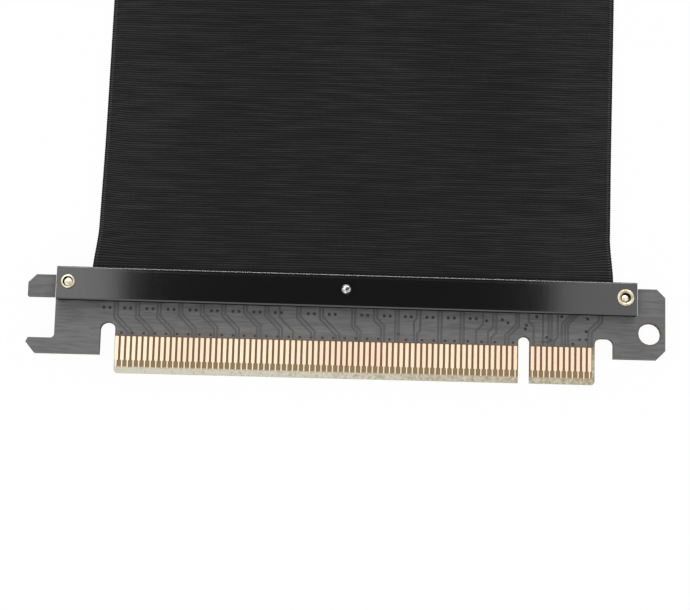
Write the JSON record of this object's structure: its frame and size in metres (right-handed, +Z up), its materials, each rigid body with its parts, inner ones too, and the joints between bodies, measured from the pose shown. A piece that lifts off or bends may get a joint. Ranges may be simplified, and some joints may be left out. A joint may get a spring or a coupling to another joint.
{
  "type": "gpu riser cable",
  "caption": "Flat riser cable: a card-edge plug board and a slot on a small board, joined by ribbons in a ribbed woven sleeve held by riveted clamp bars.",
  "frame": {"origin": "under the middle of the whole cable, on the surface it lies on", "axes": "+X along the connectors, +Y from the plug to the slot, +Z up out of the front faces of the boards"},
  "size_m": [0.1124, 0.2508, 0.0159],
  "materials": {
    "board_mask": "satin solder mask",
    "board_laminate": "bare glass laminate",
    "gold_plating": "satin gold plating",
    "slot_plastic": "fine moulded",
    "black_steel": "gloss black",
    "eyelet_brass": "pale nickel brass",
    "bright_rivet": "polished",
    "sleeve_fabric": "crosswise ribbed weave",
    "ribbon_film": "foil film",
    "tape": "amber film",
    "tin": "solder"
  },
  "bodies": {
    "root": {"plug_board": "board_mask", "socket_board": "board_mask", "slot_housing": "slot_plastic", "plug_front_bar": "black_steel", "plug_back_bar": "black_steel", "socket_front_bar": "black_steel", "socket_back_bar": "black_steel", "plug_front_tape": "tape", "plug_back_tape": "tape", "socket_front_tape": "tape", "socket_back_tape": "tape", "plug_left_eyelet": "eyelet_brass", "plug_right_eyelet": "eyelet_brass", "socket_left_eyelet": "eyelet_brass", "socket_right_eyelet": "eyelet_brass", "plug_centre_rivet": "bright_rivet", "socket_centre_rivet": "bright_rivet", "woven_sleeve": "sleeve_fabric", "front_lane_ribbon_1": "ribbon_film", "front_lane_ribbon_2": "ribbon_film", "front_lane_ribbon_3": "ribbon_film", "front_lane_ribbon_4": "ribbon_film", "front_power_ribbon": "ribbon_film", "back_lane_ribbon_1": "ribbon_film", "back_lane_ribbon_2": "ribbon_film", "back_lane_ribbon_3": "ribbon_film", "back_lane_ribbon_4": "ribbon_film", "back_power_ribbon": "ribbon_film"}
  },
  "joints": []
}
